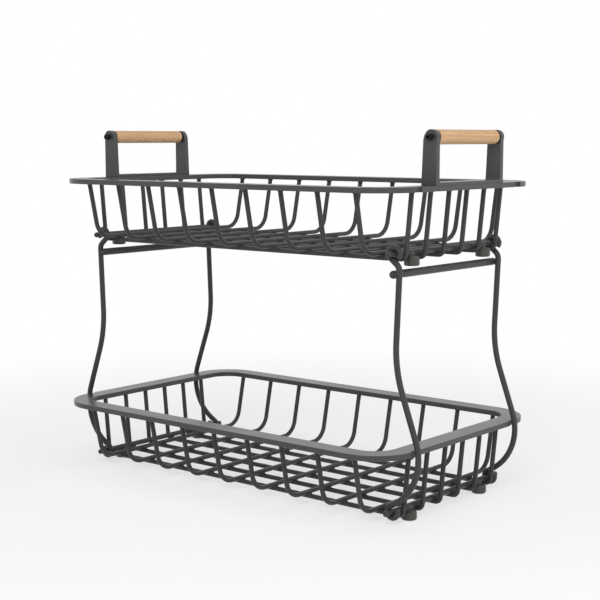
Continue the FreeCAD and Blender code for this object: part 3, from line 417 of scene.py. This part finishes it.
def coated_steel(name, tones, roughness, peel, shine, edge=0.0):
    """Powder coat between two tones and two roughness values.

    peel is the strength of the orange peel, shine the specular level and edge the width of
    the thin coat and painted highlight along edges, or 0 for round wire."""
    material, tree, shader = new_material(name)
    shader.inputs["Specular IOR Level"].default_value = shine
    skin = place_group(tree, coat_skin, Peel_Scale=PEEL_SCALE, Cloud_Scale=CLOUD_SCALE).outputs
    tone = mix_colours(tree, skin["Cloud"], *tones)
    gloss = spread(tree, skin["Cloud"], CLOUD_LOW, CLOUD_HIGH, *roughness)
    height = calc(tree, "ADD", skin["Peel"], calc(tree, "MULTIPLY", skin["Speck"], SPECK_HEIGHT))
    soft = None
    if edge:
        thin = place_group(tree, coat_edge, Width=edge).outputs
        # Painted highlight: the edge mask mixes the tone towards a paler grey, partly thinner coat
        # and partly light caught by a rounded edge.
        edge_highlight_share = calc(tree, "MULTIPLY", thin["Edge"], EDGE_PALER)
        tone = mix_colours(tree, edge_highlight_share, tone, THIN_COAT_AND_HIGHLIGHT_TONE)
        smoother = calc(tree, "MULTIPLY", thin["Edge"], EDGE_SMOOTHER)
        gloss = calc(tree, "SUBTRACT", gloss, smoother)
        soft = thin["Soft Normal"]
    tree.links.new(tone, shader.inputs["Base Color"])
    tree.links.new(gloss, shader.inputs["Roughness"])
    raise_bumps(tree, shader, height, peel, COAT_RELIEF, soft)
    return material


WIRE_TONES = ((0.034, 0.034, 0.035), (0.052, 0.052, 0.053))
FLAT_TONES = ((0.038, 0.038, 0.039), (0.052, 0.052, 0.053))
WIRE_ROUGHNESS = (0.28, 0.38)
FLAT_ROUGHNESS = (0.26, 0.34)
wire_coat = coated_steel("wire_coat", WIRE_TONES, WIRE_ROUGHNESS, peel=0.35, shine=0.22)
flat_coat = coated_steel(
    "flat_coat", FLAT_TONES, FLAT_ROUGHNESS, peel=0.22, shine=0.46, edge=EDGE_WIDTH
)
print("coats", wire_coat.name, flat_coat.name)

# %% [markdown]
# Dress the steel nodes
# The solids of the wires, rods, legs, rims and brackets already have the right shape, so
# they stay as they are and only take the coat.

# %% Coat the frame


def finish_nodes(names, material):
    """Give each named node one material."""
    for name in names:
        mesh = nodes[name].data
        mesh.materials.clear()
        mesh.materials.append(material)


round_steel = [n for n in nodes if "_wire_" in n or n.endswith(("_rod", "_leg", "_crossbar"))]
flat_steel = [n for n in nodes if n.endswith(("_rim", "_bracket"))]
finish_nodes(round_steel, wire_coat)
finish_nodes(flat_steel, flat_coat)
print("coated", len(round_steel), "round and", len(flat_steel), "flat pieces")

# %% [markdown]
# Weld beads
# Wherever two wires cross, a spot weld squeezes a little metal out of the joint. On the real
# basket it fills the corner between the wires like a small saddle. It could be sculpted, but a
# saddle is easy to write as a surface: go round the contact point by an angle, and climb from
# the lower wire to the upper one. It is copied to every crossing, so it has only a few dozen
# faces.

# %% Weld at a crossing
ROUND = 12
SADDLE_ROWS = 5
SADDLE_REACH = 0.95
SADDLE_DIAGONAL = 0.5
SADDLE_WAIST = 0.8
SADDLE_SINK = 1.2
SADDLE_CORE = 0.3


def closed_tube(rings, first, last):
    """Points and faces of stacked rings, closed by a point at each end.

    rings has the shape (rows, ROUND, 3); faces point away from the inside."""
    rows = rings.shape[0]
    points = np.vstack([rings.reshape(-1, 3), first, last])
    row, col = np.meshgrid(np.arange(rows - 1), np.arange(ROUND), indexing="ij")
    here, above = row * ROUND, (row + 1) * ROUND
    step = (col + 1) % ROUND
    quads = np.stack([here + col, here + step, above + step, above + col], -1)
    turn = np.arange(ROUND)
    after = (turn + 1) % ROUND
    end = (rows - 1) * ROUND
    bottom = np.stack([np.full(ROUND, rows * ROUND), after, turn], -1)
    top = np.stack([np.full(ROUND, rows * ROUND + 1), end + turn, end + after], -1)
    return points, quads.reshape(-1, 4), np.vstack([bottom, top])


def saddle_weld(lower, upper):
    """Weld between a lower wire along x and an upper wire along y that touch at the origin.

    At the angle t the ring's radius is 0.95 of the thinner wire, half as much more on the
    diagonals and a fifth less half way up. The height goes from the lower wire's surface,
    sqrt(r r - y y) - r, to the upper wire's, r - sqrt(r r - x x), and past both by a tenth
    of the gap between them, so that the saddle's borders sink into the wires."""
    t = np.linspace(0, 2 * np.pi, ROUND, endpoint=False)[None, :]
    v = np.linspace(-1, 1, SADDLE_ROWS)[:, None]
    thin = min(lower, upper)
    base = SADDLE_REACH * thin * (1 + SADDLE_DIAGONAL * np.sin(2 * t) ** 2)
    radius = base * (SADDLE_WAIST + (1 - SADDLE_WAIST) * v ** 2)
    x = radius * np.cos(t)
    y = radius * np.sin(t)
    floor_z = np.sqrt(np.maximum(lower ** 2 - y ** 2, 0)) - lower
    roof_z = upper - np.sqrt(np.maximum(upper ** 2 - x ** 2, 0))
    z = (roof_z + floor_z) / 2 + SADDLE_SINK * v * (roof_z - floor_z) / 2
    core = np.array([[0, 0, SADDLE_CORE * thin]])
    return closed_tube(np.stack([x, y, z], -1), -core, core)


print("faces of a saddle", sum(len(faces) for faces in saddle_weld(0.002, 0.002)[1:]))

# %% [markdown]
# Welds at the rim
# The ends of the wires stand on the underside of the rim, and the weld makes a small round
# fillet there. It is a ring that widens towards the rim and leans with the wire.

# %% Weld at the rim
FILLET_ROWS = 4
FILLET_HEIGHT = 0.85
FILLET_HUG = 0.98
FILLET_FLARE = 0.6
FILLET_TAIL = 1.3
FILLET_SINK = 0.2


def rim_weld(wire, lean):
    """Fillet where a wire that leans along +x meets the rim's underside at the origin.

    The share h of the depth is 1 at the bottom and 0 at the rim. There the radius is 0.98 of
    the wire's plus 0.6 (1 - h)(1 - h) of it, and the middle moves back by the depth times
    tan(lean), so that the fillet follows the wire."""
    t = np.linspace(0, 2 * np.pi, ROUND, endpoint=False)[None, :]
    h = np.linspace(1, 0, FILLET_ROWS)[:, None]
    tall = FILLET_HEIGHT * wire
    radius = wire * (FILLET_HUG + FILLET_FLARE * (1 - h) ** 2)
    x = radius * np.cos(t) - h * tall * math.tan(lean)
    y = radius * np.sin(t)
    z = -h * tall + 0 * t
    inside = np.array([[-FILLET_TAIL * tall * math.tan(lean), 0, -FILLET_TAIL * tall]])
    return closed_tube(np.stack([x, y, z], -1), inside, np.array([[0, 0, FILLET_SINK * wire]]))


print("faces of a fillet", sum(len(faces) for faces in rim_weld(0.002, CROSS_LEAN)[1:]))

# %% [markdown]
# Copies of a weld
# Each copy is the same shape in its own place and direction. Numpy makes all of them in one
# step: every point is turned by the joint's axes and moved to the joint's centre. All welds of
# one kind on a basket are then one mesh that rides on that basket.

# %% Put welds on the wires
TURN = {
    "+x": np.eye(3),
    "-x": np.diag([-1.0, -1.0, 1.0]),
    "+y": np.array([[0.0, -1.0, 0.0], [1.0, 0.0, 0.0], [0.0, 0.0, 1.0]]),
    "-y": np.array([[0.0, 1.0, 0.0], [-1.0, 0.0, 0.0], [0.0, 0.0, 1.0]]),
}


def spots(x, y, z):
    """All pairs of x and y at one height, as centres."""
    grid_x, grid_y = np.meshgrid(x, y, indexing="ij")
    return np.stack([grid_x.ravel(), grid_y.ravel(), np.full(grid_x.size, z)], -1)


def copies(shape, centres, axes):
    """Points and faces of a shape at many centres; point = centre + axes times shape point."""
    points, quads, tris = shape
    turned = np.einsum("ij,pj->pi", axes, points)
    every = (turned[None] + centres[:, None, :]).reshape(-1, 3)
    shift = (np.arange(len(centres)) * len(points))[:, None, None]
    return every, (quads[None] + shift).reshape(-1, 4), (tris[None] + shift).reshape(-1, 3)


def joined(parts):
    """Several sets of points and faces as one set."""
    counts = np.cumsum([0] + [len(points) for points, _, _ in parts])
    return (
        np.vstack([points for points, _, _ in parts]),
        np.vstack([quads + start for (_, quads, _), start in zip(parts, counts)]),
        np.vstack([tris + start for (_, _, tris), start in zip(parts, counts)]),
    )


def new_piece(name, surface, material, body):
    """Smooth mesh from points and faces, riding on a body."""
    points, quads, tris = surface
    mesh = bpy.data.meshes.new(name)
    mesh.from_pydata(points.tolist(), [], quads.tolist() + tris.tolist())
    mesh.polygons.foreach_set("use_smooth", np.ones(len(mesh.polygons), bool))
    mesh.materials.append(material)
    piece = bpy.data.objects.new(name, mesh)
    scene.collection.objects.link(piece)
    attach(piece, body)


for tier in TIERS:
    at = wires[tier]
    wire = at["wire"]
    body = tier + "_basket"
    crossings = spots(at["cross_x"], at["long_y"], at["touch_z"])
    on_rods = spots(at["rod_x"], at["long_y"], at["touch_z"])
    floor_welds = joined([
        copies(saddle_weld(wire, wire), crossings, TURN["+x"]),
        copies(saddle_weld(wire, at["rod"]), on_rods, TURN["+x"]),
    ])
    new_piece(tier + "_floor_welds", floor_welds, wire_coat, body)
    cross_fillet = rim_weld(wire, CROSS_LEAN)
    long_fillet = rim_weld(wire, LONG_LEAN)
    under_rim = (
        (cross_fillet, spots(at["cross_x"], [at["cross_top"]], at["rim_z"]), "+y"),
        (cross_fillet, spots(at["cross_x"], [-at["cross_top"]], at["rim_z"]), "-y"),
        (long_fillet, spots([at["long_top"]], at["long_y"], at["rim_z"]), "+x"),
        (long_fillet, spots([-at["long_top"]], at["long_y"], at["rim_z"]), "-x"),
    )
    rim_welds = joined([copies(shape, centres, TURN[way]) for shape, centres, way in under_rim])
    new_piece(tier + "_rim_welds", rim_welds, wire_coat, body)
    at_rim = sum(len(centres) for _, centres, _ in under_rim)
    print(tier, "welds", len(crossings), "on wires", len(on_rods), "on rods", at_rim, "at the rim")

# %% [markdown]
# Crossbar welds
# Each crossbar is welded across the inside of a front leg and a back leg. There the leg is
# the wire that runs along the joint and the bar crosses it, so the same saddle is turned
# until its x axis follows the leg, which leans a little at that height.

# %% Put welds on the crossbars
SHOULDER_LEAN = math.radians(2.5)
for side, sign in (("left", -1.0), ("right", 1.0)):
    bar_low, bar_high = node_box(side + "_crossbar")
    leg_low, leg_high = node_box(side + "_front_leg")
    bar = (bar_high[2] - bar_low[2]) / 2
    leg = (leg_high[1] - leg_low[1]) / 2
    toward = np.array([sign * math.cos(SHOULDER_LEAN), 0.0, -math.sin(SHOULDER_LEAN)])
    up = np.array([sign * math.sin(SHOULDER_LEAN), 0.0, math.cos(SHOULDER_LEAN)])
    axes = np.stack([up, np.array([0.0, sign, 0.0]), -toward], 1)
    touch = (bar_low + bar_high) / 2 + bar * toward
    leg_y = (leg_low[1] + leg_high[1]) / 2
    centres = spots([touch[0]], [leg_y, -leg_y], touch[2])
    bar_welds = copies(saddle_weld(leg, bar), centres, axes)
    new_piece(side + "_frame_welds", bar_welds, wire_coat, side + "_frame")
    print(side, "crossbar welds", len(centres))

# %% [markdown]
# Fittings
# The collars, bolts and nuts are blackened steel, darker and smoother than the coat beside
# them, so they take the same skin with other values and narrower edges.

# %% Blackened fittings
FITTING_TONES = ((0.007, 0.007, 0.008), (0.015, 0.015, 0.016))
FITTING_ROUGHNESS = (0.22, 0.32)
FITTING_EDGE = 0.0003
fittings = ("handle_collars", "handle_bolts", "handle_nuts")
fitting_steel = coated_steel(
    "fitting_steel", FITTING_TONES, FITTING_ROUGHNESS, peel=0.10, shine=0.12, edge=FITTING_EDGE
)
finish_nodes(fittings, fitting_steel)
print("fittings", fittings)

# %% [markdown]
# Rubber feet
# The feet are moulded rubber with a warm grey bloom. The coat's skin serves for them too. Its
# peel and clouds are finer here because the feet are small, and its specks are left out.

# %% Rubber
RUBBER_TONES = ((0.028, 0.027, 0.023), (0.054, 0.052, 0.044))
RUBBER_ROUGHNESS = (0.30, 0.42)
RUBBER_PEEL = 1100.0
RUBBER_CLOUD = 160.0
RUBBER_BUMP = 0.3
RUBBER_RELIEF = 0.0001

foot_rubber, tree, shader = new_material("foot_rubber")
skin = place_group(tree, coat_skin, Peel_Scale=RUBBER_PEEL, Cloud_Scale=RUBBER_CLOUD).outputs
bloom = mix_colours(tree, skin["Cloud"], *RUBBER_TONES)
dullness = spread(tree, skin["Cloud"], CLOUD_LOW, CLOUD_HIGH, *RUBBER_ROUGHNESS)
tree.links.new(bloom, shader.inputs["Base Color"])
tree.links.new(dullness, shader.inputs["Roughness"])
raise_bumps(tree, shader, skin["Peel"], RUBBER_BUMP, RUBBER_RELIEF)
feet = [n for n in nodes if n.endswith("_foot")]
finish_nodes(feet, foot_rubber)
print("feet", len(feet))

# %% [markdown]
# Wood grain
# The grips are dowels cut from a board. Growth rings of a large tree cross them as broad
# bands, fine fibres run along them, and short dark pores break the surface. All three are
# stretched along the grip by squeezing the y coordinate before it reaches the textures.

# %% Wood grain group
GRAIN_SQUEEZE = 0.03
RING_SCALE = 150.0
RING_WOBBLE = 5.0
RING_DETAIL, RING_DETAIL_SCALE = 3.0, 0.6
FIBRE_SCALE = 800.0
FIBRE_DETAIL, FIBRE_ROUGH = 5.0, 0.65
PORE_SCALE = 2600.0
PORE_DETAIL = 1.0
PORE_FROM, PORE_FULL = 0.60, 0.72

wood_grain, grain_in, grain_out = new_group(
    "wood_grain",
    [("Ring Scale", RING_SCALE), ("Fibre Scale", FIBRE_SCALE)],
    ["Ring", "Fibre", "Pore"],
)
where = wood_grain.nodes.new("ShaderNodeTexCoord").outputs["Object"]
squeeze = wood_grain.nodes.new("ShaderNodeMapping")
squeeze.inputs["Scale"].default_value = (1.0, GRAIN_SQUEEZE, 1.0)
wood_grain.links.new(where, squeeze.inputs["Vector"])
along = squeeze.outputs["Vector"]
rings = wood_grain.nodes.new("ShaderNodeTexWave")
rings.wave_type = "RINGS"
rings.rings_direction = "Y"
rings.wave_profile = "SAW"
rings.inputs["Distortion"].default_value = RING_WOBBLE
rings.inputs["Detail"].default_value = RING_DETAIL
rings.inputs["Detail Scale"].default_value = RING_DETAIL_SCALE
wood_grain.links.new(along, rings.inputs["Vector"])
wood_grain.links.new(grain_in.outputs["Ring Scale"], rings.inputs["Scale"])
fibre = noise(wood_grain, along, grain_in.outputs["Fibre Scale"], FIBRE_DETAIL, FIBRE_ROUGH)
fine = noise(wood_grain, along, PORE_SCALE, PORE_DETAIL)
pore = spread(wood_grain, fine, PORE_FROM, PORE_FULL, 0.0, 1.0)
wood_grain.links.new(rings.outputs["Fac"], grain_out.inputs["Ring"])
wood_grain.links.new(fibre, grain_out.inputs["Fibre"])
wood_grain.links.new(pore, grain_out.inputs["Pore"])
print("group", wood_grain.name, [s.name for s in wood_grain.interface.items_tree])

# %% [markdown]
# The wooden grips
# The grain is mixed into one tone: mostly fibre, a part of growth ring, with the pores laid
# over it as darker strokes. The same tone drives colour and gloss, because the darker wood
# has a duller shine, and the pores are pressed a little into the surface.

# %% Wood
WOOD_TONES = ((0.67, 0.43, 0.24), (0.44, 0.245, 0.115))
PORE_TONE = (0.33, 0.17, 0.08)
WOOD_ROUGHNESS = (0.40, 0.52)
STREAK_FROM, STREAK_FULL = 0.32, 0.68
FIBRE_SHARE, RING_SHARE = 0.6, 0.4
TONE_LOW, TONE_HIGH = 0.2, 0.8
PORE_DARKEN = 0.45
PORE_DEPTH = 0.8
WOOD_BUMP = 0.25
WOOD_RELIEF = 0.00008

grip_wood, tree, shader = new_material("grip_wood")
grain = place_group(tree, wood_grain, Ring_Scale=RING_SCALE, Fibre_Scale=FIBRE_SCALE).outputs
streak = spread(tree, grain["Fibre"], STREAK_FROM, STREAK_FULL, 0.0, 1.0)
fibre_part = calc(tree, "MULTIPLY", streak, FIBRE_SHARE)
ring_part = calc(tree, "MULTIPLY", grain["Ring"], RING_SHARE)
tone = calc(tree, "ADD", fibre_part, ring_part)
wood_colour = mix_colours(tree, tone, *WOOD_TONES)
darken = calc(tree, "MULTIPLY", grain["Pore"], PORE_DARKEN)
wood_colour = mix_colours(tree, darken, wood_colour, PORE_TONE)
tree.links.new(wood_colour, shader.inputs["Base Color"])
dullness = spread(tree, tone, TONE_LOW, TONE_HIGH, *WOOD_ROUGHNESS)
tree.links.new(dullness, shader.inputs["Roughness"])
relief = calc(tree, "SUBTRACT", streak, calc(tree, "MULTIPLY", grain["Pore"], PORE_DEPTH))
raise_bumps(tree, shader, relief, WOOD_BUMP, WOOD_RELIEF)
grips = ("left_grip", "right_grip")
finish_nodes(grips, grip_wood)
print("grips", grips)
